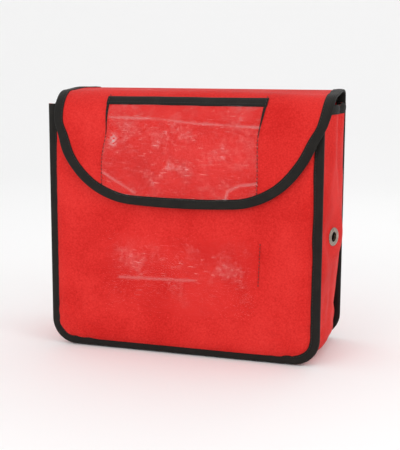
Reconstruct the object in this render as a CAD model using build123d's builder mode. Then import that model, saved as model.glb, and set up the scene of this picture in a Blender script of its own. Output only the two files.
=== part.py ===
from build123d import *

import os
from math import cos, radians, sin

# Folded fire blanket in a soft red carrying bag with a fold-over flap.
# Millimetres. The origin is the middle of the base, +Z is up, +X runs to the
# right of someone facing the bag, and the front of the bag faces -Y.

# Materials
fabric = 1.2  # coated fabric of the panels, gusset and flap
tape = 0.8  # woven binding tape, one leaf
film = 0.4  # clear film of the card windows
thread = 0.3  # how far a row of stitches stands up
strip = 0.9  # hook strip and loop strip

# Bag body
bag_width = 330.0  # over the raw edges of the front and back panels
seam_half_depth = 65.0  # from the middle to where panel and gusset meet
seam_bottom = 1.2  # the raw edges of the seams stay just off the ground
seam_width = 11.0  # raw edge to the gusset wall
panel_corner = 24.0  # corner radius of the panels' raw edge
binding_width = 9.2  # raw edge to the tape's inner edge
front_height = 283.0  # top edge of the front panel
mouth_height = 293.0  # top edge of the gusset
back_height = 305.4  # top edge of the back panel, under the flap
crown_height = 4.3  # the full bag pushes its front panel out
crown_inset = 11.5
crown_taper = 50.0
crown_top = 266.0
tape_play = 0.1  # between the mouth's tape and the seams' tape

# Gusset: it leaves the seams slanting outwards and is widest near mid-depth
crest_half_width = 174.0
crest_front = -5.0
crest_back = 12.0
sole_half_depth = 48.0  # the gusset lies flat on the ground this far each way
sole_corner = 22.0
crest_corner = 30.0
gusset_split = 42.0  # height where the sides become the bottom
mouth_slope_end = -48.0  # the mouth drops from here to the front panel's top
mouth_trim = 50.0  # how much of the gusset's upright outline is cut off above the mouth

# Eyelets, one in each side of the gusset
eyelet_y = -18.5
eyelet_z = 142.5
eyelet_bore = 5.5
eyelet_barrel = 6.05
eyelet_rim = 10.8
rim_edge = 0.4  # thickness of the rim at its outer edge
rim_lip = 0.7  # height at the bore
rim_crown = (7.6, 1.8)  # radius and height of the rim's highest ring
roll_end = 8.2  # radius that the barrel's inner end is rolled out to
roll_low = (6.7, 1.1)  # radius and depth of the roll's lowest ring, below the washer
roll_start = 0.3
roll_lip = 0.4
washer_rim = 10.4
washer = 0.7
fabric_hole = 6.2

# Flap: top plate, rounded shoulder and a front that hangs over the bag
flap_radius = 39.0  # outer face of the shoulder
shoulder_y = -35.0
shoulder_z = 269.0
flap_back = 67.7
fold_angle = 118.0  # polar angle of the front fold line on the shoulder
fold_gap = 0.5  # half the gap at the fold, in degrees
flap_bottom = 175.0
# Its lower edge from the middle to the upright sides: radius and turn of each arc
flap_edge_arcs = ((950.0, 3.75), (101.0, 46.5), (202.6, 15.5), (36.0, 24.25))
flap_top_z = 350.0  # the front view's outline closes above the whole flap
flap_binding = 11.0
film_gap = 0.4  # between the window's film and the flap's binding
front_reach = 5.0  # the front's layers are cut this far below its edge, then trimmed

# Card window on the flap
window_half_width = 96.0
window_film_angle = 128.0  # the film's top edge, under the tape
window_tape_angles = (126.0, 144.0)
window_tape_half_width = 97.0
window_seam_x = 93.5
window_seam_low = 203.0
seam_thread = 0.6

# Card window on the front panel
low_window_half_width = 98.0
low_window_z = (40.0, 150.0)
low_window_corner = 4.0
low_seam_x = 96.0
low_seam_z = (88.0, 142.0)

# Hook and loop fastener behind the flap
fastener_size = (100.0, 25.0)
fastener_z = 203.0

# Folded blanket
blanket_room = 5.0  # from the gusset's outer face to the blanket
blanket_front = -62.0
blanket_back = 44.0
blanket_bottom = 4.0
blanket_top = 270.0
blanket_leaves = 5
pull_x = 80.0
pull_width = 25.0
pull_thickness = 1.6
pull_z = (225.0, 284.0)

# Worked out from the sizes above
half_width = bag_width / 2
wall_half_width = half_width - seam_width
panel_front = seam_half_depth + fabric
crown_front = panel_front + crown_height
front_slope = (crest_half_width - wall_half_width) / (crest_front + seam_half_depth)
back_slope = (crest_half_width - wall_half_width) / (seam_half_depth - crest_back)
leaf_depth = (blanket_back - blanket_front) / blanket_leaves


def tub(half, bottom, top, corner):
    """An upright outline with square top corners and round bottom corners."""
    with BuildSketch() as outline:
        with BuildLine():
            FilletPolyline((-half, top), (-half, bottom), (half, bottom), (half, top), radius=corner)
            Line((half, top), (-half, top))
        make_face()
    return outline.sketch


def panel_outline(inset, top):
    """The panels' raw edge, moved inwards by inset."""
    return tub(half_width - inset, seam_bottom + inset, top, panel_corner - inset)


def gusset_envelope(inset):
    """The bulged solid inside the gusset's outer face, moved inwards by inset."""
    seam_wall_bottom = seam_bottom + seam_width
    seam_corner = panel_corner - seam_width
    sole_width = wall_half_width + front_slope * (seam_half_depth - sole_half_depth)
    back_sole_width = wall_half_width + back_slope * (seam_half_depth - sole_half_depth)
    stations = [
        (-seam_half_depth, wall_half_width, seam_wall_bottom, seam_corner),
        (-sole_half_depth, sole_width, 0, sole_corner),
        (crest_front, crest_half_width, 0, crest_corner),
        (crest_back, crest_half_width, 0, crest_corner),
        (sole_half_depth, back_sole_width, 0, sole_corner),
        (seam_half_depth, wall_half_width, seam_wall_bottom, seam_corner),
    ]
    with BuildPart() as envelope:
        for y, half, bottom, corner in stations:
            with BuildSketch(Plane.XZ.offset(-y)):
                add(tub(half - inset, bottom + inset, mouth_height + 2 * tape, corner - inset))
        loft(ruled=True)
    return envelope.part


def mouth_band(below, above):
    """Side view of a band along the gusset's top edge, which drops at the front."""
    slope = (mouth_height - front_height) / (mouth_slope_end + seam_half_depth)
    reach = seam_half_depth + 5
    start_z = mouth_height - slope * (reach + mouth_slope_end)
    edges = []
    with BuildSketch() as band:
        with BuildLine():
            for rise in (below, above):
                edge = FilletPolyline(
                    (-reach, start_z + rise),
                    (mouth_slope_end, mouth_height + rise),
                    (reach, mouth_height + rise),
                    radius=25,
                )
                edges.append(edge)
            Line(edges[0] @ 0, edges[1] @ 0)
            Line(edges[0] @ 1, edges[1] @ 1)
        make_face()
    return band.sketch


def polar(layer, angle):
    """A side-view point on the shoulder; layer counts outwards from the flap's face."""
    radius = flap_radius + layer
    turn = radians(angle)
    return (shoulder_y + radius * cos(turn), shoulder_z + radius * sin(turn))


def shoulder_band(inner, outer, first, last):
    """Side view of a layer on the shoulder, between two polar angles."""
    with BuildSketch() as band:
        with BuildLine():
            for layer in (inner, outer):
                CenterArc((shoulder_y, shoulder_z), flap_radius + layer, first, last - first)
            for angle in (first, last):
                Line(polar(inner, angle), polar(outer, angle))
        make_face()
    return band.sketch


def flap_top_layer(inner, outer):
    """Side view of a layer of the flap from its back edge to the fold."""
    with BuildSketch() as layer:
        add(shoulder_band(inner, outer, 90, fold_angle - fold_gap))
        with Locations((shoulder_y, shoulder_z + flap_radius + inner)):
            Rectangle(flap_back - shoulder_y, outer - inner, align=Align.MIN)
    return layer.sketch


def flap_front_layer(inner, outer, first, bottom):
    """Side view of a layer of the flap from an angle on the shoulder down to bottom."""
    with BuildSketch() as layer:
        add(shoulder_band(inner, outer, first, 180))
        with Locations((shoulder_y - flap_radius - outer, bottom)):
            Rectangle(outer - inner, shoulder_z - bottom, align=Align.MIN)
    return layer.sketch


def flap_outline(grow):
    """Front view of the flap's curved lower edge, moved outwards by grow."""
    with BuildSketch() as outline:
        with BuildLine():
            start = Vector(0, flap_bottom - grow)
            tangent = Vector(1, 0)
            for radius, turn in flap_edge_arcs:
                arc = JernArc(start, tangent, radius + grow, turn)
                start = arc @ 1
                tangent = arc % 1
            Polyline(start, (start.X, flap_top_z), (0, flap_top_z))
            mirror(about=Plane.YZ)
        make_face()
    return outline.sketch


def across(side_view, half):
    """A side view extruded the same distance to both sides of the middle."""
    with BuildPart() as solid:
        with BuildSketch(Plane.YZ):
            add(side_view)
        extrude(amount=half, both=True)
    return solid.part


def through(front_view):
    """A front view extruded right through the bag, front to back."""
    with BuildPart() as solid:
        with BuildSketch(Plane.XZ):
            add(front_view)
        extrude(amount=bag_width, both=True)
    return solid.part


# Front and back panels -----------------------------------------------------------

with BuildPart() as front_panel:
    with BuildSketch(Plane.XZ.offset(seam_half_depth)):
        add(panel_outline(0, front_height))
    extrude(amount=fabric)
    with BuildSketch(Plane.XZ.offset(panel_front)):
        add(panel_outline(crown_inset, crown_top))
    extrude(amount=crown_height, taper=crown_taper)
    with BuildSketch(Plane.XZ.offset(seam_half_depth)):
        add(panel_outline(crown_inset + fabric, crown_top - fabric))
    extrude(amount=crown_height, taper=crown_taper, mode=Mode.SUBTRACT)

with BuildPart() as back_panel:
    with BuildSketch(Plane.XZ.offset(-seam_half_depth)):
        add(panel_outline(0, back_height))
    extrude(amount=-fabric)

# Gusset: one strip round both sides and the bottom, with a flange in each seam ----

gusset_outside = gusset_envelope(0)
gusset_inside = gusset_envelope(fabric)
above_mouth = across(mouth_band(0, mouth_trim), bag_width)

with BuildPart() as gusset_strip:
    add(gusset_outside)
    for seam, inwards in ((-seam_half_depth, -1), (seam_half_depth, 1)):
        with BuildSketch(Plane.XZ.offset(-seam)):
            add(panel_outline(0, mouth_height))
        extrude(amount=inwards * fabric)
    add(gusset_inside, mode=Mode.SUBTRACT)
    add(above_mouth, mode=Mode.SUBTRACT)


def eyelet_plane(side):
    """A plane on the gusset's slanting face; its normal points out of the eyelet."""
    x = wall_half_width + front_slope * (eyelet_y + seam_half_depth)
    return Plane(
        origin=(side * x, eyelet_y, eyelet_z), x_dir=(0, 0, 1), z_dir=(side, -front_slope, 0)
    )


eyelet_planes = {"right": eyelet_plane(1), "left": eyelet_plane(-1)}
kept_half = {"right": Keep.TOP, "left": Keep.BOTTOM}

with BuildPart() as gusset_bottom:
    add(gusset_strip.part)
    split(bisect_by=Plane.XY.offset(gusset_split), keep=Keep.BOTTOM)

gusset_sides = {}
for side, plane in eyelet_planes.items():
    with BuildPart() as gusset_side:
        add(gusset_strip.part)
        split(bisect_by=Plane.XY.offset(gusset_split), keep=Keep.TOP)
        split(bisect_by=Plane.YZ, keep=kept_half[side])
        with BuildSketch(plane):
            Circle(fabric_hole)
        extrude(amount=4 * fabric, both=True, mode=Mode.SUBTRACT)
    gusset_sides[side] = gusset_side

# Seam bindings: tape folded over the raw edges of panel and gusset ----------------


def seam_binding(direction, top):
    """Tape round a seam; direction is -1 at the front and 1 at the back."""
    inner_face = seam_half_depth - fabric - tape
    with BuildPart() as binding:
        with BuildSketch(Plane.XZ.offset(-direction * inner_face)):
            add(panel_outline(-tape, top))
            add(panel_outline(binding_width, top + tape), mode=Mode.SUBTRACT)
        extrude(amount=-direction * 2 * (fabric + tape))
        with BuildSketch(Plane.XZ.offset(-direction * (inner_face + tape))):
            add(panel_outline(0, top + tape))
        extrude(amount=-direction * 2 * fabric, mode=Mode.SUBTRACT)
    return binding


seam_binding_front = seam_binding(-1, front_height)
seam_binding_back = seam_binding(1, mouth_height)

# Bindings of the mouth, and of the back panel's sides above it --------------------

with BuildPart() as mouth_binding_front:
    with BuildSketch(Plane.XZ.offset(seam_half_depth - tape)):
        with Locations((0, front_height + tape)):
            Rectangle(
                2 * (wall_half_width - 2 * fabric),
                binding_width,
                align=(Align.CENTER, Align.MAX),
            )
    extrude(amount=fabric + 2 * tape)
    add(front_panel.part, mode=Mode.SUBTRACT)

mouth_tape_outside = gusset_envelope(-tape)
mouth_tape_inside = gusset_envelope(fabric + tape)
mouth_tape_band = across(mouth_band(tape - binding_width, tape), bag_width)

mouth_bindings = {}
for side, half in kept_half.items():
    with BuildPart() as mouth_binding:
        add(mouth_tape_outside)
        add(mouth_tape_inside, mode=Mode.SUBTRACT)
        add(mouth_tape_band, mode=Mode.INTERSECT)
        Box(
            2 * bag_width,
            2 * (seam_half_depth - fabric - tape - tape_play),
            4 * mouth_height,
            mode=Mode.INTERSECT,
        )
        add(gusset_strip.part, mode=Mode.SUBTRACT)
        split(bisect_by=Plane.YZ, keep=half)
    mouth_bindings[side] = mouth_binding

back_edge_bindings = {}
for side, sign in (("right", 1), ("left", -1)):
    with BuildPart() as back_edge_binding:
        with BuildSketch(Plane.XZ.offset(tape - seam_half_depth)):
            with Locations((sign * (half_width + (tape - binding_width) / 2), mouth_height)):
                Rectangle(
                    binding_width + tape,
                    back_height - mouth_height,
                    align=(Align.CENTER, Align.MIN),
                )
        extrude(amount=-fabric - 2 * tape)
        add(back_panel.part, mode=Mode.SUBTRACT)
    back_edge_bindings[side] = back_edge_binding

# Eyelets, and the washers that they are set over ----------------------------------

set_depth = fabric + washer
eyelets = {}
eyelet_washers = {}
for side, plane in eyelet_planes.items():
    half_section = Plane(
        origin=plane.origin, x_dir=(0, 0, 1), z_dir=Vector(0, 0, 1).cross(plane.z_dir)
    )
    with BuildPart() as eyelet:
        with BuildSketch(half_section):
            with BuildLine():
                Line((eyelet_bore, rim_lip), (eyelet_bore, -set_depth - roll_start))
                ThreePointArc(
                    (eyelet_bore, -set_depth - roll_start),
                    (roll_low[0], -set_depth - roll_low[1]),
                    (roll_end, -set_depth - roll_lip),
                )
                Polyline(
                    (roll_end, -set_depth - roll_lip),
                    (roll_end, -set_depth),
                    (eyelet_barrel, -set_depth),
                    (eyelet_barrel, 0),
                    (eyelet_rim, 0),
                    (eyelet_rim, rim_edge),
                )
                ThreePointArc((eyelet_rim, rim_edge), rim_crown, (eyelet_bore, rim_lip))
            make_face()
        revolve(axis=Axis(plane.origin, plane.z_dir))
    eyelets[side] = eyelet

    with BuildPart() as eyelet_washer:
        with BuildSketch(plane.offset(-set_depth)):
            Circle(washer_rim)
            Circle(fabric_hole, mode=Mode.SUBTRACT)
        extrude(amount=washer)
    eyelet_washers[side] = eyelet_washer

# Flap: a top plate and a front, which fold high on the rounded shoulder -----------

top_panel_solid = across(flap_top_layer(-fabric, 0), half_width)
top_tape_solid = across(flap_top_layer(-fabric - tape, tape), half_width + tape)
top_middle_solid = across(flap_top_layer(-2 * fabric, fabric), half_width - flap_binding)

with BuildPart() as flap_top_panel:
    add(top_panel_solid)

flap_top_bindings = {}
for side, half in kept_half.items():
    with BuildPart() as flap_top_binding:
        add(top_tape_solid)
        add(top_middle_solid, mode=Mode.SUBTRACT)
        add(flap_top_panel.part, mode=Mode.SUBTRACT)
        split(bisect_by=Plane.YZ, keep=half)
    flap_top_bindings[side] = flap_top_binding

front_fold = fold_angle + fold_gap
flap_edge_low = flap_bottom - front_reach
front_panel_layer = flap_front_layer(-fabric, 0, front_fold, flap_edge_low)
front_tape_layer = flap_front_layer(-fabric - tape, tape, front_fold, flap_edge_low)

with BuildPart() as flap_front_panel:
    add(across(front_panel_layer, half_width))
    add(through(flap_outline(0)), mode=Mode.INTERSECT)

with BuildPart() as flap_front_binding:
    add(across(front_tape_layer, half_width + tape))
    add(through(flap_outline(tape)), mode=Mode.INTERSECT)
    add(through(flap_outline(-flap_binding)), mode=Mode.SUBTRACT)
    add(flap_front_panel.part, mode=Mode.SUBTRACT)

# Card window on the flap: clear film, bound along its top and stitched at its sides

film_layer = flap_front_layer(0, film, window_film_angle, flap_bottom)
thread_layer = flap_front_layer(film, film + thread, window_tape_angles[1] + 1, window_seam_low)
inside_binding = through(flap_outline(-flap_binding - film_gap))

with BuildPart() as flap_window_film:
    add(across(film_layer, window_half_width))
    add(inside_binding, mode=Mode.INTERSECT)

with BuildPart() as flap_window_tape:
    add(across(shoulder_band(film, film + tape, *window_tape_angles), window_tape_half_width))

with BuildPart() as flap_window_seams:
    for sign in (-1, 1):
        with BuildSketch(Plane.YZ.offset(sign * window_seam_x)):
            add(thread_layer)
        extrude(amount=seam_thread / 2, both=True)

# Card window low on the front panel -----------------------------------------------

low_z_min, low_z_max = low_window_z
seam_z_min, seam_z_max = low_seam_z

with BuildPart() as front_window_film:
    with BuildSketch(Plane.XZ.offset(crown_front)):
        with Locations((0, (low_z_min + low_z_max) / 2)):
            RectangleRounded(2 * low_window_half_width, low_z_max - low_z_min, low_window_corner)
    extrude(amount=film)

with BuildPart() as front_window_seam:
    with BuildSketch(Plane.XZ.offset(crown_front + film)):
        with Locations((low_seam_x, (seam_z_min + seam_z_max) / 2)):
            Rectangle(seam_thread, seam_z_max - seam_z_min)
    extrude(amount=thread)

# Hook and loop fastener between the flap and the front panel ----------------------

with BuildPart() as hook_strip:
    with BuildSketch(Plane.XZ.offset(crown_front)):
        with Locations((0, fastener_z)):
            RectangleRounded(*fastener_size, 2)
    extrude(amount=strip)

with BuildPart() as loop_strip:
    with BuildSketch(Plane.XZ.offset(flap_radius - shoulder_y - fabric)):
        with Locations((0, fastener_z)):
            RectangleRounded(*fastener_size, 2)
    extrude(amount=-strip)

# Blanket: folded into leaves that stand side by side, with a pull tape at each end --

blanket_space = gusset_envelope(blanket_room)

with BuildPart() as folded_blanket:
    with BuildSketch(Plane.YZ):
        for leaf in range(blanket_leaves):
            with Locations((blanket_front + (leaf + 0.5) * leaf_depth, blanket_bottom)):
                fold = leaf_depth / 2
                with Locations((0, fold), (0, blanket_top - blanket_bottom - fold)):
                    Circle(fold)
                with Locations((0, (blanket_top - blanket_bottom) / 2)):
                    Rectangle(leaf_depth, blanket_top - blanket_bottom - leaf_depth)
    extrude(amount=crest_half_width, both=True)
    add(blanket_space, mode=Mode.INTERSECT)

pull_tapes = {}
for side, sign in (("right", 1), ("left", -1)):
    with BuildPart() as pull_tape:
        with BuildSketch(Plane.XZ.offset(-blanket_front)):
            with Locations((sign * pull_x, (pull_z[0] + pull_z[1]) / 2)):
                Rectangle(pull_width, pull_z[1] - pull_z[0])
        extrude(amount=pull_thickness)
    pull_tapes[side] = pull_tape

# One STEP file for each piece -----------------------------------------------------

pieces = {
    "front_panel": front_panel,
    "back_panel": back_panel,
    "gusset_bottom": gusset_bottom,
    "seam_binding_front": seam_binding_front,
    "seam_binding_back": seam_binding_back,
    "mouth_binding_front": mouth_binding_front,
    "flap_top_panel": flap_top_panel,
    "flap_front_panel": flap_front_panel,
    "flap_front_binding": flap_front_binding,
    "flap_window_film": flap_window_film,
    "flap_window_tape": flap_window_tape,
    "flap_window_seams": flap_window_seams,
    "front_window_film": front_window_film,
    "front_window_seam": front_window_seam,
    "hook_strip": hook_strip,
    "loop_strip": loop_strip,
    "folded_blanket": folded_blanket,
}
for side in kept_half:
    pieces[f"gusset_{side}"] = gusset_sides[side]
    pieces[f"mouth_binding_{side}"] = mouth_bindings[side]
    pieces[f"back_edge_binding_{side}"] = back_edge_bindings[side]
    pieces[f"eyelet_{side}"] = eyelets[side]
    pieces[f"eyelet_washer_{side}"] = eyelet_washers[side]
    pieces[f"flap_top_binding_{side}"] = flap_top_bindings[side]
    pieces[f"pull_tape_{side}"] = pull_tapes[side]

os.makedirs("parts", exist_ok=True)
for label, piece in pieces.items():
    piece.part.label = label
    export_step(piece.part, f"parts/{label}.step")
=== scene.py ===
import math

import bmesh
import bpy
import numpy as np
from mathutils import Euler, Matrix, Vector


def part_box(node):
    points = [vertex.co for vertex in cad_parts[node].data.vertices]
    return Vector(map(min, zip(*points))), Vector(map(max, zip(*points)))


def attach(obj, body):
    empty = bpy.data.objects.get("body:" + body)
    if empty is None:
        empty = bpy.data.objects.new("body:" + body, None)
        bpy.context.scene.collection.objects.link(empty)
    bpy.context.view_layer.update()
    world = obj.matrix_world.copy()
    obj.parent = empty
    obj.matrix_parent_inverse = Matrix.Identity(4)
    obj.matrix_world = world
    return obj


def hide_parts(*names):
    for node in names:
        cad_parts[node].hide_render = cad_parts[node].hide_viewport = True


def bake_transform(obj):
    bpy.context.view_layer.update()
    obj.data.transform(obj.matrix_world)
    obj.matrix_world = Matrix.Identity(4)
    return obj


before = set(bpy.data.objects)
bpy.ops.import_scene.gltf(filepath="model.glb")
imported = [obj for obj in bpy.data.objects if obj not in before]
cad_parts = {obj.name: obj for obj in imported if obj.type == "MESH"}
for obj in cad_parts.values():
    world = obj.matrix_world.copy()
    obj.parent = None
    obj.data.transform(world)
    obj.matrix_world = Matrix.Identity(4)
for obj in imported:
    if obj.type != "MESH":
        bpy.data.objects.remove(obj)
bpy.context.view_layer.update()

# Lengths in this file are millimetres until a mesh is made, and MM turns them into metres.
MM = 0.001


def box_mm(node):
    low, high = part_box(node)
    return np.array(low) / MM, np.array(high) / MM


front_low, front_high = box_mm("front_panel")
side_low, side_high = box_mm("gusset_right")
back_high = box_mm("back_panel")[1]
top_high = box_mm("flap_top_panel")[1]
flap_low = box_mm("flap_front_panel")[0]

fabric = 1.2
tape = 0.8
film = 0.4
half_width = front_high[0]
mouth_front = front_high[2]
mouth_side = side_high[2]
seam_bottom = front_low[2]
corner = 30
seam_width = 11
front_seam = side_low[1]
back_seam = side_high[1]
crest = side_high[0]

# ---------------------------------------------------------------- small helpers


def smooth(value, low, high):
    """0 below low, 1 above high, and an easy slope between."""
    t = np.clip((np.asarray(value, float) - low) / (high - low), 0, 1)
    return t * t * (3 - 2 * t)


def bump(value, centre, width):
    """A rounded hill, 1 high at the centre."""
    return np.exp(-(((value - centre) / width) ** 2))


def ripple(a, b, wave_a, wave_b, seed, count=8):
    """Smooth chance hills over the plane (a, b), about wave_a and wave_b long, mostly from -1 to 1."""
    draw = np.random.default_rng(seed)
    total = np.zeros(np.broadcast(a, b).shape)
    for _ in range(count):
        turn = draw.uniform(0, 2 * math.pi)
        pitch = 2 * math.pi * draw.uniform(0.6, 1.5)
        phase = draw.uniform(0, 2 * math.pi)
        total += np.sin(pitch * (a / wave_a * math.cos(turn) + b / wave_b * math.sin(turn)) + phase)
    return total / math.sqrt(count)


def run_along(points):
    """The distance along a line of points, at each point."""
    return np.concatenate([[0], np.cumsum(np.linalg.norm(np.diff(points, axis=0), axis=1))])


def join(x, y, z):
    """Points from their three coordinates."""
    return np.stack(np.broadcast_arrays(x, y, z), -1)


def unit(vectors):
    return vectors / np.maximum(np.linalg.norm(vectors, axis=-1, keepdims=True), 1e-9)


def slope_normal(place, a, b):
    """The unit normal at (a, b) of the surface that the function place gives."""
    along_a = place(a + 0.5, b) - place(a - 0.5, b)
    along_b = place(a, b + 0.5) - place(a, b - 0.5)
    return unit(np.cross(along_b, along_a))


def facing(grid):
    """The unit normals of a surface given as rows by columns of points."""
    return unit(np.cross(np.gradient(grid, axis=0), np.gradient(grid, axis=1)))


def face_outward(mesh):
    shape = bmesh.new()
    shape.from_mesh(mesh)
    bmesh.ops.recalc_face_normals(shape, faces=shape.faces)
    shape.to_mesh(mesh)
    shape.free()


def add_object(name, points, faces, flat, material, extra=None, closed=True):
    """A smooth mesh object from points in millimetres. flat holds each point's place on the flat cloth."""
    mesh = bpy.data.meshes.new(name)
    mesh.from_pydata([tuple(p) for p in np.asarray(points) * MM], [], [tuple(f) for f in faces])
    if flat is not None:
        layer = mesh.uv_layers.new(name="flat")
        corners = np.zeros(len(mesh.loops), int)
        mesh.loops.foreach_get("vertex_index", corners)
        layer.data.foreach_set("uv", (np.asarray(flat)[corners] * MM).astype(np.float32).ravel())
    for key, values in (extra or {}).items():
        mesh.attributes.new(key, "FLOAT", "POINT").data.foreach_set("value", values.astype(np.float32))
    mesh.validate()
    if closed:
        face_outward(mesh)
    mesh.polygons.foreach_set("use_smooth", [True] * len(mesh.polygons))
    mesh.materials.append(material)
    obj = bpy.data.objects.new(name, mesh)
    bpy.context.scene.collection.objects.link(obj)
    return obj


def quads_of(rows, cols):
    index = np.arange(rows * cols).reshape(rows, cols)
    return np.stack([index[:-1, :-1], index[1:, :-1], index[1:, 1:], index[:-1, 1:]], -1).reshape(-1, 4)


def tube_faces(rows, cols):
    """The faces of a tube, capped at both ends. The grid's last column of points meets its first."""
    index = np.arange(rows * cols).reshape(rows, cols)
    after = np.roll(index, -1, axis=1)
    around = np.stack([index[:-1], index[1:], after[1:], after[:-1]], -1).reshape(-1, 4)
    return around.tolist() + [index[0, ::-1].tolist(), index[-1].tolist()]


def rim_of(rows, cols):
    """The points round the edge of a grid, in order."""
    index = np.arange(rows * cols).reshape(rows, cols)
    return np.concatenate([index[0, :-1], index[:-1, -1], index[-1, :0:-1], index[:0:-1, 0]])


def cloth(name, grid, flat, thick, material, hole=None, extra=None, normals=None):
    """A sheet with two faces and a rim, through a grid of points. hole marks points that are cut away."""
    rows, cols = grid.shape[:2]
    out = facing(grid) if normals is None else normals
    off = out * thick / 2
    both = np.concatenate([(grid + off).reshape(-1, 3), (grid - off).reshape(-1, 3)])
    faces = quads_of(rows, cols)
    if hole is not None:
        faces = faces[~hole.reshape(-1)[faces].any(axis=1)]
    ring = rim_of(rows, cols)
    after = np.roll(ring, -1)
    rim = np.stack([after, ring, ring + rows * cols, after + rows * cols], -1)
    every = np.concatenate([faces, faces[:, ::-1] + rows * cols, rim])
    lay = np.concatenate([flat.reshape(-1, 2)] * 2)
    extra = {k: np.concatenate([v.reshape(-1)] * 2) for k, v in (extra or {}).items()}
    obj = add_object(name, both, every, lay, material, extra)
    if hole is not None:
        shape = bmesh.new()
        shape.from_mesh(obj.data)
        bmesh.ops.delete(shape, geom=[v for v in shape.verts if not v.link_faces], context="VERTS")
        shape.to_mesh(obj.data)
        shape.free()
    obj.data.set_sharp_from_angle(angle=math.radians(60))
    return obj


def flat_area(flat):
    """The area of a grid laid flat, in square metres."""
    a, b, c, d = flat[:-1, :-1], flat[1:, :-1], flat[1:, 1:], flat[:-1, 1:]
    cross = (c - a)[..., 0] * (d - b)[..., 1] - (c - a)[..., 1] * (d - b)[..., 0]
    return float(np.abs(cross).sum() / 2) * MM * MM


def fix(piece, slot, moves_with, *stands_for):
    """Hides the nodes that a piece stands for and parents the piece to its body's empty; a piece that moves
    with the hinge or the fold only has its transform baked in. slot, the piece's finish, is not used.
    """
    if stands_for:
        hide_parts(*stands_for)
    if moves_with == "hinge":
        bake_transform(piece)
    elif moves_with == "fold":
        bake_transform(piece)
    else:
        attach(piece, moves_with)


def fix_tape(made, moves_with, *stands_for):
    """Does the same for a binding and its rows of stitches, where the tape alone stands for nodes."""
    fix(made[0], "binding_tape", moves_with, *stands_for)
    for row in made[1:]:
        fix(row, "seam_thread", moves_with)


# ---------------------------------------------------------------- materials


class Nodes:
    """A material's node tree, with short names for the few steps that the finishes share."""

    def __init__(self, name):
        self.material = bpy.data.materials.new(name)
        self.material.use_nodes = True
        self.tree = self.material.node_tree
        self.shader = self.tree.nodes["Principled BSDF"]
        self.output = self.tree.nodes["Material Output"]

    def add(self, kind, **settings):
        node = self.tree.nodes.new(kind)
        for key, value in settings.items():
            setattr(node, key, value)
        return node

    def link(self, a, b):
        self.tree.links.new(a, b)

    def flat(self):
        return self.add("ShaderNodeUVMap", uv_map="flat").outputs[0]

    def place(self):
        return self.add("ShaderNodeTexCoord").outputs["Object"]

    def noise(self, vector, scale, detail=3.0, rough=0.5):
        node = self.add("ShaderNodeTexNoise")
        node.inputs["Scale"].default_value = scale
        node.inputs["Detail"].default_value = detail
        node.inputs["Roughness"].default_value = rough
        self.link(vector, node.inputs["Vector"])
        return node.outputs["Fac"]

    def wave(self, vector, axis, period, twist=0.0):
        """Bands one period in metres apart, with a little wander."""
        node = self.add("ShaderNodeTexWave", wave_type="BANDS", bands_direction=axis)
        node.inputs["Scale"].default_value = 2 * math.pi / (20 * period)
        node.inputs["Distortion"].default_value = twist
        node.inputs["Detail"].default_value = 1.0
        self.link(vector, node.inputs["Vector"])
        return node.outputs["Fac"]

    def streaks(self, vector, turn):
        """Long thin marks that run one way."""
        node = self.add("ShaderNodeMapping")
        node.inputs["Rotation"].default_value = (0, 0, turn)
        node.inputs["Scale"].default_value = (1, 14, 1)
        self.link(vector, node.inputs["Vector"])
        return self.noise(node.outputs[0], 75.0, 2.0)

    def sum(self, first, second, kind="ADD"):
        node = self.add("ShaderNodeMath", operation=kind)
        for socket, value in zip(node.inputs, (first, second)):
            if isinstance(value, (int, float)):
                socket.default_value = value
            else:
                self.link(value, socket)
        return node.outputs[0]

    def ramp(self, value, low, high, start=0.0, end=1.0):
        node = self.add("ShaderNodeMapRange")
        self.link(value, node.inputs["Value"])
        node.inputs["From Min"].default_value = start
        node.inputs["From Max"].default_value = end
        node.inputs["To Min"].default_value = low
        node.inputs["To Max"].default_value = high
        return node.outputs[0]

    def colours(self, value, stops):
        node = self.add("ShaderNodeValToRGB")
        band = node.color_ramp
        while len(band.elements) < len(stops):
            band.elements.new(0.5)
        for element, (at, colour) in zip(band.elements, stops):
            element.position = at
            element.color = (*colour, 1)
        self.link(value, node.inputs["Fac"])
        return node.outputs["Color"]

    def relief(self, height, depth, strength=1.0):
        """Bumps depth metres high."""
        node = self.add("ShaderNodeBump")
        node.inputs["Strength"].default_value = strength
        node.inputs["Distance"].default_value = depth
        self.link(height, node.inputs["Height"])
        self.link(node.outputs[0], self.shader.inputs["Normal"])
        return node

    def paint(self, tone, stops):
        self.link(self.colours(tone, stops), self.shader.inputs["Base Color"])

    def surface(self, **numbers):
        """Sets the shader's plain numbers, such as Roughness."""
        for socket, number in numbers.items():
            self.shader.inputs[socket.replace("_", " ")].default_value = number


def weave_of(nodes, vector, pitch, twist=0.4):
    """A plain weave: threads both ways, a pitch in metres apart."""
    warp = nodes.wave(vector, "X", pitch, twist)
    weft = nodes.wave(vector, "Y", pitch, twist)
    return nodes.sum(warp, weft, "MULTIPLY")


def coated_fabric(low, mid, high):
    """Red coated cloth: the weave shows faintly through a dull skin, with soft uneven dye."""
    nodes = Nodes("coated_fabric")
    flat, place = nodes.flat(), nodes.place()
    weave = weave_of(nodes, flat, 0.0011)
    clouds = nodes.noise(place, 14.0, 4.0, 0.55)
    grain = nodes.noise(place, 520.0, 3.0, 0.7)
    tone = nodes.sum(clouds, nodes.sum(nodes.ramp(weave, -0.12, 0.12), nodes.ramp(grain, -0.55, 0.55)))
    nodes.paint(tone, [(0.2, low), (0.5, mid), (0.85, high)])
    nodes.link(nodes.ramp(nodes.noise(place, 60.0, 5.0), 0.5, 0.68), nodes.shader.inputs["Roughness"])
    nodes.surface(Specular_IOR_Level=0.07, Sheen_Weight=0.01, Sheen_Roughness=0.4)
    height = nodes.sum(nodes.ramp(weave, 0.0, 1.0), nodes.ramp(nodes.noise(place, 220.0, 4.0), 0.0, 1.6))
    nodes.relief(height, 0.00028, 0.8)
    return nodes.material


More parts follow.
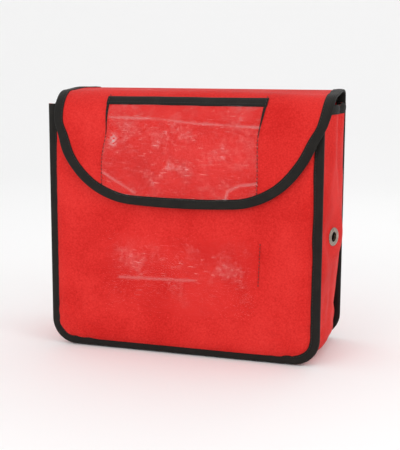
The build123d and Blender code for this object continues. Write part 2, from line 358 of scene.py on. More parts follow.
def binding_tape():
    """Black woven tape with ribs across it and a worn, slightly grey face."""
    nodes = Nodes("binding_tape")
    flat, place = nodes.flat(), nodes.place()
    ribs = nodes.wave(flat, "X", 0.0012, 0.6)
    rows = nodes.wave(flat, "Y", 0.0016, 0.4)
    weave = nodes.sum(ribs, nodes.ramp(rows, 0.35, 1.0), "MULTIPLY")
    tone = nodes.sum(nodes.ramp(nodes.noise(place, 70.0, 4.0), 0.0, 0.7), nodes.ramp(weave, 0.0, 0.3))
    dark, mid, worn = (0.004, 0.003, 0.0025), (0.009, 0.0075, 0.006), (0.022, 0.02, 0.016)
    nodes.paint(tone, [(0.1, dark), (0.5, mid), (0.9, worn)])
    nodes.surface(Roughness=0.68, Specular_IOR_Level=0.22, Sheen_Weight=0.06, Sheen_Roughness=0.4)
    nodes.relief(weave, 0.00022, 0.8)
    return nodes.material


def clear_film(name, cloud, shine):
    """Clear sheet, clouded by handling. Its mesh says where it is worn most, and where a painted highlight
    lies along its creases and on one bulge.
    """
    nodes = Nodes(name)
    flat = nodes.flat()
    patches = nodes.noise(flat, 22.0, 9.0, 0.7)
    wisps = nodes.noise(flat, 190.0, 9.0, 0.8)
    wiped = nodes.ramp(patches, 0.0, 1.0, 0.5, 0.72)
    grime = nodes.sum(wiped, nodes.ramp(wisps, 0.15, 1.0, 0.45, 0.72), "MULTIPLY")
    haze = nodes.sum(nodes.sum(grime, 0.42 * cloud, "MULTIPLY"), 0.008 * cloud)
    for turn, cut in ((0.6, 0.67), (-0.9, 0.685), (2.2, 0.69)):
        scratches = nodes.ramp(nodes.streaks(flat, turn), 0.0, 0.3 * cloud, cut, cut + 0.05)
        haze = nodes.sum(haze, scratches)
    worn = nodes.add("ShaderNodeAttribute", attribute_name="worn").outputs["Fac"]
    # The crease attribute whitens the film: a painted highlight along its creases and on one bulge.
    crease = nodes.add("ShaderNodeAttribute", attribute_name="crease").outputs["Fac"]
    haze = nodes.sum(nodes.sum(haze, worn, "MULTIPLY"), nodes.sum(crease, 0.1, "MULTIPLY"))
    fresnel = nodes.add("ShaderNodeFresnel")
    fresnel.inputs["IOR"].default_value = 1.4
    outer_face = nodes.sum(1.0, nodes.add("ShaderNodeNewGeometry").outputs["Backfacing"], "SUBTRACT")
    glare = nodes.sum(nodes.sum(fresnel.outputs[0], shine, "MULTIPLY"), outer_face, "MULTIPLY")
    cover = nodes.sum(haze, glare)
    nodes.surface(Base_Color=(0.9, 0.8, 0.78, 1), Roughness=0.24, Specular_IOR_Level=0.45)
    nodes.relief(nodes.sum(patches, nodes.ramp(wisps, 0.0, 0.3)), 0.0004, 0.3)
    clear = nodes.add("ShaderNodeBsdfTransparent")
    mixed = nodes.add("ShaderNodeMixShader")
    nodes.link(nodes.ramp(cover, 0.0, 1.0, 0.0, 1.0), mixed.inputs[0])
    nodes.link(clear.outputs[0], mixed.inputs[1])
    nodes.link(nodes.shader.outputs[0], mixed.inputs[2])
    nodes.link(mixed.outputs[0], nodes.output.inputs["Surface"])
    return nodes.material


def thread(name, colour):
    """Twisted sewing thread."""
    nodes = Nodes(name)
    place = nodes.place()
    twist = nodes.wave(place, "DIAGONAL", 0.0005, 0.3)
    pale = tuple(1.9 * c + 0.004 for c in colour)
    nodes.paint(twist, [(0.2, colour), (0.8, pale)])
    nodes.surface(Roughness=0.6)
    nodes.relief(twist, 0.0001)
    return nodes.material


def nickel():
    """Plated steel, handled: fine scratches and a cloudy polish."""
    nodes = Nodes("nickel")
    place = nodes.place()
    marks = nodes.noise(place, 500.0, 6.0, 0.7)
    cloud = nodes.noise(place, 120.0, 3.0)
    nodes.paint(cloud, [(0.3, (0.2, 0.16, 0.13)), (0.7, (0.42, 0.35, 0.29))])
    nodes.surface(Metallic=1.0)
    nodes.link(nodes.ramp(marks, 0.16, 0.38), nodes.shader.inputs["Roughness"])
    nodes.relief(marks, 0.00008, 0.5)
    return nodes.material


def hook_and_loop(name, coarse):
    """Black hook tape or the softer loop tape: rows of tiny tufts."""
    nodes = Nodes(name)
    flat = nodes.flat()
    spots = nodes.add("ShaderNodeTexVoronoi")
    spots.inputs["Scale"].default_value = 1 / coarse
    nodes.link(flat, spots.inputs["Vector"])
    fuzz = nodes.noise(flat, 1500.0, 3.0)
    tone = nodes.sum(spots.outputs["Distance"], nodes.ramp(fuzz, -0.2, 0.2))
    nodes.paint(tone, [(0.1, (0.05, 0.05, 0.05)), (0.8, (0.012, 0.012, 0.012))])
    nodes.surface(Roughness=0.85, Sheen_Weight=0.5)
    nodes.relief(nodes.sum(1.0, tone, "SUBTRACT"), 0.0006)
    return nodes.material


def wool():
    """Undyed grey-beige felted wool with long fibres and a soft nap."""
    nodes = Nodes("wool")
    place = nodes.place()
    fibre = nodes.noise(place, 420.0, 6.0, 0.75)
    nap = nodes.noise(place, 45.0, 4.0)
    tone = nodes.sum(nodes.ramp(fibre, 0.0, 0.7), nodes.ramp(nap, 0.0, 0.3))
    stops = [(0.25, (0.2, 0.18, 0.145)), (0.5, (0.36, 0.325, 0.265)), (0.75, (0.5, 0.46, 0.39))]
    nodes.paint(tone, stops)
    nodes.surface(Roughness=0.95, Specular_IOR_Level=0.15, Sheen_Weight=0.6, Sheen_Roughness=0.6)
    nodes.relief(nodes.sum(fibre, nodes.ramp(nap, 0.0, 0.6)), 0.0009)
    return nodes.material


def webbing():
    """White woven webbing with a herringbone of ribs."""
    nodes = Nodes("webbing")
    flat, place = nodes.flat(), nodes.place()
    ribs = nodes.wave(flat, "DIAGONAL", 0.0022, 0.4)
    edge = nodes.wave(flat, "Y", 0.0015, 0.3)
    weave = nodes.sum(ribs, nodes.ramp(edge, 0.3, 1.0), "MULTIPLY")
    dirt = nodes.noise(place, 60.0, 4.0)
    tone = nodes.sum(nodes.ramp(weave, 0.0, 0.6), nodes.ramp(dirt, 0.0, 0.4))
    stops = [(0.15, (0.32, 0.31, 0.28)), (0.6, (0.62, 0.61, 0.57)), (0.9, (0.74, 0.73, 0.69))]
    nodes.paint(tone, stops)
    nodes.surface(Roughness=0.8, Sheen_Weight=0.3)
    nodes.relief(weave, 0.0004)
    return nodes.material


red = coated_fabric((0.57, 0.014, 0.012), (0.7, 0.027, 0.023), (0.79, 0.045, 0.039))
black = binding_tape()
clear = clear_film("clear_film", 0.6, 0.3)
clear_low = clear_film("clear_film_low", 0.5, 0.0)
black_thread = thread("seam_thread", (0.012, 0.011, 0.01))
brown_thread = thread("window_thread", (0.014, 0.006, 0.005))
metal = nickel()
hooks = hook_and_loop("hooks", 0.0016)
loops = hook_and_loop("loops", 0.0009)
blanket_wool = wool()
white_webbing = webbing()

# ---------------------------------------------------------------- stitches and tapes


def stitches(name, points, normals, material, length=2.7, pitch=3.6, thick=0.55):
    """Single stitches along a line of points, each a small bead pressed into the cloth."""
    along = run_along(points)
    middles = np.arange(pitch, along[-1] - pitch / 2, pitch)

    def at(values, where):
        return np.stack([np.interp(where, along, values[:, k]) for k in range(3)], -1)

    centre = at(points, middles)
    ahead = unit(at(points, middles + 0.4) - at(points, middles - 0.4))
    up = unit(at(normals, middles))
    side = unit(np.cross(ahead, up))
    rings, sides = 5, 6
    angle = (math.pi * (np.arange(rings) + 0.5) / rings)[:, None]
    turn = 2 * math.pi * np.arange(sides) / sides
    reach = np.sin(angle) ** 0.6 * thick / 2
    bead = join(-np.cos(angle) * length / 2, reach * np.cos(turn), reach * np.sin(turn)).reshape(-1, 3)
    axes = np.stack([ahead, side, up], 1)
    every = centre[:, None] + bead @ axes
    starts = np.arange(len(middles)) * len(bead)
    faces = [[start + k for k in face] for start in starts for face in tube_faces(rings, sides)]
    return add_object(name, every.reshape(-1, 3), faces, None, material)


def tape_section(width, half):
    """The folded tape's cross-section: (distance in from the cloth's edge, height off its middle)."""
    upper = [(width, half - 0.75), (width, half - 0.1), (width - 0.5, half), (width - 1.7, half - 0.28),
             (width - 3.2, half + 0.1), (width * 0.45, half + 0.28), (2.2, half + 0.18), (0.9, half - 0.15),
             (0.1, half * 0.62), (-0.35, 0)]
    lower = [(d, -h) for d, h in reversed(upper[:-1])]
    return upper + lower


both_faces = (("stitches_out", 1), ("stitches_in", -1))


def bind(name, at, width, half, rows_of_stitches):
    """Tape folded over a cloth edge, with its stitches. half is half the bound edge's thickness.

    at(d) gives the points that lie a distance d in from the edge, and the cloth's normals there.
    """
    section = tape_section(width, half)
    rings = []
    for d, h in section:
        points, normals = at(d)
        rings.append(points + normals * h)
    grid = np.stack(rings, 1)
    rows, cols = grid.shape[:2]
    along = run_along(grid[:, 4])
    around = np.cumsum([0] + [math.dist(a, b) for a, b in zip(section, section[1:])])
    lay = np.stack(np.broadcast_arrays(along[:, None], around[None, :]), -1)
    made = [add_object(name, grid.reshape(-1, 3), tube_faces(rows, cols), lay.reshape(-1, 2), black)]
    for tag, sign in rows_of_stitches:
        points, normals = at(width - 1.7)
        face = points + normals * sign * (half - 0.22)
        made.append(stitches(f"{name}_{tag}", face, normals * sign, black_thread))
    return made


# ---------------------------------------------------------------- the bag's outlines


def edge_path(top_right, top_left, step=2.0):
    """The panels' U-shaped edge, from its right top round the bottom to its left top, and the way in."""
    points, inward = [], []
    low = seam_bottom
    for z in np.arange(top_right, low + corner, -step):
        points.append((half_width, z))
        inward.append((-1, 0))
    turns = np.linspace(0, math.pi / 2, 16)
    for a in turns:
        points.append((half_width - corner + corner * math.cos(a), low + corner - corner * math.sin(a)))
        inward.append((-math.cos(a), math.sin(a)))
    for x in np.arange(half_width - corner - step, -(half_width - corner), -step):
        points.append((x, low))
        inward.append((0, 1))
    for a in turns[::-1]:
        points.append((-half_width + corner - corner * math.cos(a), low + corner - corner * math.sin(a)))
        inward.append((math.cos(a), math.sin(a)))
    for z in np.arange(low + corner + step, top_left, step):
        points.append((-half_width, z))
        inward.append((1, 0))
    return np.array(points), np.array(inward, float)


def inset(x, z):
    """How far a point of a panel lies in from the panel's U-shaped edge."""
    across = np.abs(x) - (half_width - corner)
    down = seam_bottom + corner - z
    outside = np.hypot(np.maximum(across, 0), np.maximum(down, 0))
    return corner - outside - np.minimum(np.maximum(across, down), 0)


# The flap is cut from the same cloth as the back panel. A place on it is (x, s): s runs up from the
# back panel, over the top and down the front.
top_middle = top_high[2] - fabric / 2
back_plane = back_high[1] - fabric / 2
flap_plane = flap_low[1] + fabric / 2
tuck = 7.0
shoulder = 38.4
shoulder_y = flap_plane + shoulder
shoulder_z = top_middle - shoulder
tuck_run = tuck * math.pi / 2
top_run = back_plane - tuck - shoulder_y
shoulder_start = tuck_run + top_run
shoulder_end = shoulder_start + shoulder * math.pi / 2
split_run = tuck_run + 38
back_height = top_middle - tuck
flap_drop = flap_low[2]
end_droop = 2.5
left_corner_rise = 8.5
hang_right = 10.0
hang_back = 6.6


def droop(x):
    """How far the flap's unsupported ends sag."""
    return end_droop * smooth(np.abs(x), 95, 166)


def bend_profile(s):
    """(y, z) and the outward normal's (y, z) along the flap's developed length, without sag."""
    s = np.asarray(s, float)
    a = np.clip(s / tuck, 0, math.pi / 2)
    b = np.clip((s - shoulder_start) / shoulder, 0, math.pi / 2)
    up = np.minimum(s, 0)
    flat_run = np.clip(s - tuck_run, 0, top_run)
    down = np.maximum(s - shoulder_end, 0)
    y = back_plane - tuck * (1 - np.cos(a)) - flat_run - shoulder * np.sin(b)
    z = back_height + up + tuck * np.sin(a) - shoulder * (1 - np.cos(b)) - down
    return y, z


def hang(x, s):
    """How far the flap lies to the right of square: most at its shoulder, and less at its lower edge."""
    right_share = 0.5 + np.asarray(x) / (2 * half_width)
    over = right_share * smooth(s, tuck_run, 105) + (1 - right_share) * smooth(s, 60, 160)
    return hang_right * over - hang_back * smooth(s, 128, 212)


def flap_place(x, s):
    """The middle of the cloth at (x, s)."""
    y, z = bend_profile(s)
    over = bump(s, 116, 24)
    z = z - droop(x) * over
    front = smooth(s, shoulder_end - 10, shoulder_end + 40)
    top = smooth(s, tuck_run, tuck_run + 25) * (1 - smooth(s, shoulder_start - 5, shoulder_end - 20))
    z = z + top * (0.9 * ripple(x, s, 120, 60, 11) - 1.0 * bump(x, 0, 120))
    swell = 1.6 * (1 - (np.abs(x) / 170) ** 3) * smooth(s, shoulder_end, shoulder_end + 50)
    y = y - front * (swell + 0.45 + 0.45 * ripple(x, s, 95, 70, 12))
    pull = 0.7 * bump(x, 118, 26) * bump(s, shoulder_end + 8, 30)
    y = y - pull
    end_wave = smooth(np.abs(x), 120, 165) * smooth(s, 120, 150) * (1 - smooth(s, 190, 240))
    y = y - 0.5 * end_wave * (1 + np.sin(s / 14.0))
    moved = x * (1 - 0.028 * bump(s, 176, 20)) + hang(x, s)
    return join(moved, y, z)


def flap_normal(x, s):
    return slope_normal(flap_place, x, s)


def flap_offset(x, s, off):
    return flap_place(x, s) + flap_normal(x, s) * off


def lower_edge(count):
    """The flap's lower edge from its right side to its left: (x, s) and the direction in from the edge."""
    arcs = ((950, 3.75), (101, 46.5), (202.6, 15.5), (36, 24.25))
    x, z, heading = 0.0, flap_drop, 0.0
    points, inward = [(x, z)], [(0.0, 1.0)]
    for radius, turn in arcs:
        cells = max(2, int(radius * math.radians(turn) / 2.0))
        for _ in range(cells):
            step = math.radians(turn) / cells
            x += 2 * radius * math.sin(step / 2) * math.cos(heading + step / 2)
            z += 2 * radius * math.sin(step / 2) * math.sin(heading + step / 2)
            heading += step
            points.append((x, z))
            inward.append((-math.sin(heading), math.cos(heading)))
    points, inward = np.array(points), np.array(inward)
    points[:, 0] *= half_width / points[-1, 0]
    run = run_along(points)
    want = np.linspace(0, run[-1], count)
    points = np.stack([np.interp(want, run, points[:, k]) for k in range(2)], -1)
    inward = unit(np.stack([np.interp(want, run, inward[:, k]) for k in range(2)], -1))
    run_s = shoulder_end + (shoulder_z - points[:, 1])
    half = np.stack([points[:, 0], run_s], -1)
    into = np.stack([inward[:, 0], -inward[:, 1]], -1)
    mirror = np.array([-1, 1])
    both_sides = [np.concatenate([side[::-1], side[1:] * mirror]) for side in (half, into)]
    return both_sides[0], both_sides[1]


edge_points, edge_inward = lower_edge(91)
edge_heights = shoulder_z - (edge_points[:, 1] - shoulder_end)
order = np.argsort(edge_points[:, 0])


def flap_edge_height(x):
    """Height of the flap's lower edge above the floor at x."""
    return np.interp(x, edge_points[order, 0] + hang_right - hang_back, edge_heights[order])


# ---------------------------------------------------------------- the bag's surfaces


def front_top(x):
    """The front panel's top edge, which stands a little higher at the left corner."""
    return mouth_front + left_corner_rise * smooth(-x, 120, half_width)


under_flap_puff = 4.1
open_puff_gain = 4.3
front_puff_run = 4.2
back_puff = 4.2
back_puff_run = 7


def front_crease(x, z, width):
    """The one level crease low on the front, 1 along its middle."""
    return bump(z, 91.5 + 0.02 * x, width) * smooth(x, -78, -70) * (1 - smooth(x, 18, 26))


def front_place(x, z):
    """The middle of the front panel's cloth."""
    d = inset(x, z)
    under_flap = smooth(flap_edge_height(x) - z, -2, 42)
    full = under_flap_puff + open_puff_gain * under_flap
    full = full * (1 - 0.75 * smooth(z, 232, 278))
    overhang = 3.8 * bump(z, 0, 24) * (1 - smooth(np.abs(x), 100, 152))
    start = seam_width - 0.6 - overhang - 1.6 * smooth(-x, 120, 150)
    rise = 1 - np.exp(-np.maximum(d - start, 0) / front_puff_run)
    slow = smooth(d, seam_width, 90)
    inside = smooth(d, seam_width, 40)
    calm = 1 - 0.8 * smooth(z, 172, 192)
    wander = 0.75 * ripple(x, z, 120, 95, 21) + 0.3 * ripple(x, z, 46, 60, 22)
    wander = inside * calm * wander
    pucker = 0.28 * bump(d, seam_width + 3, 5) * ripple(x + z, x - z, 13, 13, 23)
    corner_x, corner_z = np.abs(x) - (half_width - 34), z - 34
    turned = np.arctan2(corner_z, corner_x)
    near_corner = bump(np.hypot(corner_x, corner_z), 20, 15) * (corner_z < 20)
    pucker = pucker + 0.55 * near_corner * np.sin(turned * 9 + np.sign(x) * 1.3)
    sink = 1.6 * bump(z, 60, 60) * slow
    crease = -0.35 * front_crease(x, z, 1.6)
    y = front_seam - fabric / 2 - full * rise * (0.86 + 0.14 * slow) - sink * under_flap * 0.5
    y = y - wander - pucker + crease
    return join(x, y, z)


def back_place(x, z):
    """The middle of the back panel's cloth, up to where it turns into the flap."""
    d = inset(x, z)
    rise = 1 - np.exp(-np.maximum(d - seam_width, 0) / back_puff_run)
    fade = 1 - smooth(z, 225, 285)
    wander = 0.9 * ripple(x, z, 110, 90, 31) + 0.4 * ripple(x, z, 40, 60, 32)
    wander = smooth(d, seam_width, 50) * wander
    pucker = 0.3 * bump(d, seam_width + 3, 5) * ripple(x, z, 13, 13, 33)
    y = back_plane + fade * (back_puff * rise + wander + pucker)
    return join(x, y, z)


seam_inner = half_width - seam_width + 0.6
crest_y = 3.5
seam_sole = 12.2
seam_turn = 13.5
turn_gain = 12
sole_turn = 25
run_total = mouth_side - fabric / 2 - sole_turn + sole_turn * math.pi / 2 + crest - sole_turn
low_pinch = 9.0
eyelet_low, eyelet_high = box_mm("eyelet_washer_right")
eyelet_z = (eyelet_low[2] + eyelet_high[2]) / 2
eyelet_y = -18.5
eyelet_x = 169.5
eyelet_slope = 1 / 3
fabric_hole = 6.2


def side_reach(y):
    """How far out the gusset swells at depth y, from 0 at the seams to 1 at the crest."""
    front = np.clip((crest_y - y) / (crest_y - front_seam), 0, 1)
    back = np.clip((y - crest_y) / (back_seam - crest_y), 0, 1)
    away = np.maximum(front, back)
    return (1 - away ** 2.1) ** 0.8


def mouth_height(side, y):
    """The gusset's top edge falls to the front panel's corner."""
    fall = mouth_side - float(front_top(side * half_width))
    return mouth_side - fall * smooth(-y, 38, 66) + 0.6 * np.sin(y / 7.0) * bump(y, 0, 45)


def gusset_place(side, run, y, top):
    """A point of the gusset. run goes down the side, round the corner and along the sole to the middle."""
    reach = side_reach(y)
    low_share = 1 - smooth(mouth_side - run, 40, 150)
    wide = seam_inner + (crest - fabric / 2 - seam_inner - low_pinch * low_share) * reach
    sole = seam_sole - (seam_sole - fabric / 2) * smooth(reach, 0.0, 0.52)
    turn = seam_turn + turn_gain * reach
    straight = mouth_side - sole - turn
    bend = turn * math.pi / 2
    down = np.clip(run, 0, straight)
    angle = np.clip((run - straight) / turn, 0, math.pi / 2)
    along = np.maximum(run - straight - bend, 0)
    z = top - (top - sole - turn) * down / straight - turn * np.sin(angle)
    sole_run = np.maximum(run_total - straight - bend, 1)
    x = wide - turn * (1 - np.cos(angle)) - along * (wide - turn) / sole_run
    nx, nz = np.cos(angle), -np.sin(angle)
    swell = gusset_folds(side, z, y, angle) * smooth(reach, 0.02, 0.45)
    x, z = x + nx * swell, z + nz * np.minimum(swell, 0.0)
    seat = 1 - smooth(np.hypot(y - eyelet_y, z - eyelet_z), 13, 38)
    plane = eyelet_x - fabric / 2 + eyelet_slope * (y - eyelet_y)
    x = x + (plane - x) * seat * (angle == 0)
    return join(side * x, y, z)


def gusset_folds(side, z, y, angle):
    """Soft upright folds where the side is slack under the mouth, and small wrinkles at the foot."""
    high = smooth(z, 120, 285)
    seed = 41 if side > 0 else 45
    groove = -3.4 * bump(y, -9 + 0.05 * (285 - z), 8.5) * high
    ridge = 1.3 * bump(y, -30 + 0.04 * (285 - z), 9) * high
    back = -2.2 * bump(y, 30 - 0.06 * (285 - z), 9) * high
    upright = 0.9 * ripple(z, y, 190, 34, seed) + 0.35 * ripple(z, y, 60, 26, seed + 1)
    foot = 0.7 * ripple(z, y, 26, 40, seed + 2) * bump(z, 42, 30)
    return groove + ridge + back + upright + foot - 1.0 - 0.8 * np.sin(angle)


def make_gusset():
    """One strip of cloth round the bag's right side, bottom and left side, with a hole for each eyelet."""
    depths = front_seam + (back_seam - front_seam) * (1 - np.cos(np.linspace(0, math.pi, 67))) / 2
    run, y = np.meshgrid(np.linspace(0, run_total, 172), depths, indexing="ij")
    halves = [gusset_place(side, run, y, mouth_height(side, y)) for side in (1, -1)]
    flat_right = np.stack([y, -run], -1)
    grid = np.concatenate([halves[0], halves[1][-2::-1]])
    lay = np.concatenate([flat_right, np.stack([y, run - 2 * run_total], -1)[-2::-1]])
    hole = np.zeros(grid.shape[:2], bool)
    for side in (1, -1):
        on_side = grid[..., 0] * side > 150
        dy, dz = (grid[..., 1] - eyelet_y) * math.hypot(1, eyelet_slope), grid[..., 2] - eyelet_z
        away = np.hypot(dy, dz)
        near = on_side & (away < fabric_hole + 2.6) & (away >= fabric_hole - 0.6)
        hole |= on_side & (away < fabric_hole - 0.6)
        at_rim = near & (away < fabric_hole + 1.2)
        scale = np.where(at_rim, fabric_hole / np.maximum(away, 1e-6), 1.0)
        new_y = eyelet_y + (grid[..., 1] - eyelet_y) * scale
        new_z = eyelet_z + dz * scale
        seated = side * (eyelet_x - fabric / 2 + eyelet_slope * (new_y - eyelet_y))
        grid = np.where(near[..., None], np.stack([seated, new_y, new_z], -1), grid)
    obj = cloth("gusset", grid[:, ::-1], lay[:, ::-1], fabric, red, hole=hole[:, ::-1])
    fix(obj, "coated_fabric", "bag", "gusset_right", "gusset_left", "gusset_bottom")
    flat_area(lay)


def panel_grid(top, columns, rows):
    """A grid over a panel with rounded lower corners: its x and z, and its columns' places from -1 to 1."""
    turn = np.linspace(0, math.pi / 2, 14)[:-1]
    corner_top = seam_bottom + corner
    low_rows = seam_bottom + corner * (1 - np.cos(turn))
    heights = np.concatenate([low_rows, np.linspace(corner_top, top, rows)])
    crowding = math.pi / 2 * 0.72
    across = np.sin(np.linspace(-1, 1, columns) * crowding) / math.sin(crowding)
    u, z = np.meshgrid(across, heights, indexing="xy")
    down = np.maximum(corner_top - z, 0)
    return u * (half_width - corner + np.sqrt(np.maximum(corner ** 2 - down ** 2, 0))), z, across


def make_front_panel():
    """The front panel puffs out just inside its bound seam and lies flatter under the flap."""
    x, z, _ = panel_grid(mouth_front, 161, 130)
    z = z + (front_top(x) - mouth_front) * smooth(z, 205, mouth_front)
    lay = np.stack([x, z], -1)
    obj = cloth("front_panel_cloth", front_place(x, z)[:, ::-1], lay[:, ::-1], fabric, red)
    fix(obj, "coated_fabric", "bag", "front_panel")
    flat_area(lay)


def make_back_and_top():
    """The back panel and the rear half of the flap's top, one sheet that bends at the flap's rear edge."""
    x, z, across = panel_grid(back_height, 141, 110)
    over = np.concatenate([np.linspace(0, tuck_run, 12)[1:], np.linspace(tuck_run, split_run, 22)[1:]])
    top_x, s = np.meshgrid(across * half_width, over, indexing="xy")
    grid = np.concatenate([back_place(x, z), flap_place(top_x, s)])
    lay = np.concatenate([np.stack([x, z], -1), np.stack([top_x, back_height + s], -1)])
    obj = cloth("back_and_top_cloth", grid, lay, fabric, red)
    fix(obj, "coated_fabric", "hinge", "back_panel", "flap_top_panel")
    flat_area(lay)


def make_flap():
    """The front half of the flap's top, its shoulder and its curved front."""
    share = np.linspace(0, 1, 131)[:, None]
    top_x = np.linspace(1, -1, len(edge_points)) * half_width
    x = top_x + (edge_points[:, 0] - top_x) * share ** 1.7
    s = split_run + (edge_points[:, 1] - split_run) * share
    lay = np.stack([x, s], -1)
    obj = cloth("flap_cloth", flap_place(x, s)[:, ::-1], lay[:, ::-1], fabric, red,
                normals=flap_normal(x, s)[:, ::-1])
    fix(obj, "coated_fabric", "fold", "flap_front_panel")
    flat_area(lay)


# ---------------------------------------------------------------- bindings

# How far each tape reaches in from its edge.
seam_reach = 10.4
mouth_reach = 9.6
side_mouth_reach = 10.2
rear_reach = 11.2
flap_reach = 11.4
# Half the thickness of each bound edge with its tape. A seam has the edges of two cloths in it.
seam_half = 2.35
edge_half = 1.55
side_edge_half = 1.6


def bind_seam(name, plane, node):
    """The tape over the seam that joins a panel and the gusset, which stands out in the panel's plane."""
    top_right = mouth_front if plane < 0 else mouth_side
    top_left = mouth_front + left_corner_rise if plane < 0 else mouth_side
    path, inward = edge_path(top_right, top_left)
    run = run_along(path)
    facing_out = -1.0 if plane < 0 else 1.0
    wobble = 0.35 * ripple(run, run * 0, 55, 55, 51 if plane < 0 else 52)
    puff = 0.12 * ripple(run, run * 0, 14, 14, 53)

    def at(d):
        place = path + inward * (d - 0.3 + wobble * (d > 5))[:, None]
        y = np.full(len(path), plane) + facing_out * puff * bump(d, 5, 4)
        points = np.stack([place[:, 0], y, place[:, 1]], -1)
        return points, np.tile([0, facing_out, 0], (len(path), 1)).astype(float)

    fix_tape(bind(name, at, seam_reach, seam_half, both_faces), "bag", node)


def bind_front_mouth():
    """The tape over the front panel's top edge, under the flap."""
    x = np.linspace(-151.5, 151.5, 110)
    top = front_top(x)

    def at(d):
        z = top - d
        return front_place(x, z), np.tile([0.0, -1.0, 0.0], (len(x), 1))

    fix_tape(bind("mouth_tape_front", at, mouth_reach, edge_half, both_faces), "bag", "mouth_binding_front")


def bind_side_mouth(side):
    """The slightly wavy tape over the gusset's top edge."""
    y = np.linspace(-61.5, 61.5, 80)
    top = mouth_height(side, y)

    def at(d):
        run = np.full(len(y), max(d, 0.0))
        points = gusset_place(side, run, y, top)
        points[:, 2] += max(-d, 0.0)
        near = gusset_place(side, run, y + 0.5, top) - gusset_place(side, run, y - 0.5, top)
        out = unit(np.stack([side * near[:, 1], -side * near[:, 0], 0 * y], -1))
        wave = 0.45 * ripple(y, y * 0, 20, 20, 61 if side > 0 else 62)[:, None]
        return points + out * wave, out

    tag = "right" if side > 0 else "left"
    made = bind(f"mouth_tape_{tag}", at, side_mouth_reach, side_edge_half, both_faces[:1])
    fix_tape(made, "bag", f"mouth_binding_{tag}")


def bind_back_edge(side):
    """The tape over the free side edge of the back panel and the rear of the flap's top, past the bend."""
    s = np.concatenate([np.linspace(mouth_side - back_height, 0, 6)[:-1], np.linspace(0, tuck_run, 10)[:-1],
                        np.linspace(tuck_run, split_run, 18)])

    def at(d):
        x = side * np.full(len(s), half_width - d)
        return flap_place(x, s), flap_normal(x, s)

    tag = "right" if side > 0 else "left"
    made = bind(f"flap_tape_rear_{tag}", at, rear_reach, edge_half, both_faces)
    fix_tape(made, "hinge", f"back_edge_binding_{tag}", f"flap_top_binding_{tag}")


def bind_flap():
    """One tape down the flap's right end, along its curved lower edge and up its left end."""
    sides = np.arange(split_run, edge_points[0, 1] - 1, 2.2)
    right = np.stack([np.full(len(sides), half_width), sides], -1)
    left = right[::-1] * np.array([-1, 1])
    path = np.concatenate([right, edge_points, left])
    from_right = np.tile([-1.0, 0.0], (len(sides), 1))
    inward = np.concatenate([from_right, edge_inward, -from_right])
    run = run_along(path)
    wobble = 0.3 * ripple(run, run * 0, 60, 60, 71)

    def at(d):
        place = path + inward * (d + wobble * (d > 5))[:, None]
        return flap_place(place[:, 0], place[:, 1]), flap_normal(place[:, 0], place[:, 1])

    made = bind("flap_tape_front", at, flap_reach, edge_half, both_faces)
    fix_tape(made, "fold", "flap_front_binding")


# ---------------------------------------------------------------- the windows


def near_line(x, z, line):
    """Distance from each point to a bent line."""
    best = np.full(np.broadcast(x, z).shape, 1e9)
    for (ax, az), (bx, bz) in zip(line, line[1:]):
        length = (bx - ax) ** 2 + (bz - az) ** 2
        t = np.clip(((x - ax) * (bx - ax) + (z - az) * (bz - az)) / length, 0, 1)
        best = np.minimum(best, np.hypot(x - ax - t * (bx - ax), z - az - t * (bz - az)))
    return best


window_half = 94.3
window_centre = -4.0
tape_start = shoulder_start + math.radians(36) * shoulder
tape_end = shoulder_start + math.radians(54) * shoulder
seam_x = 93.5
pane_gap = 0.85
low_pane_gap = 0.84
# Stitches on the windows: length, pitch and thickness.
window_stitch = (2.6, 4.2, 1.1)
low_stitch = (2.4, 3.9, 0.9)


def lower_limit(x):
    """The s at which the flap's binding covers a pocket's lower end, at x."""
    heights = np.interp(x, edge_points[order, 0], edge_points[order, 1])
    return heights - 10.0


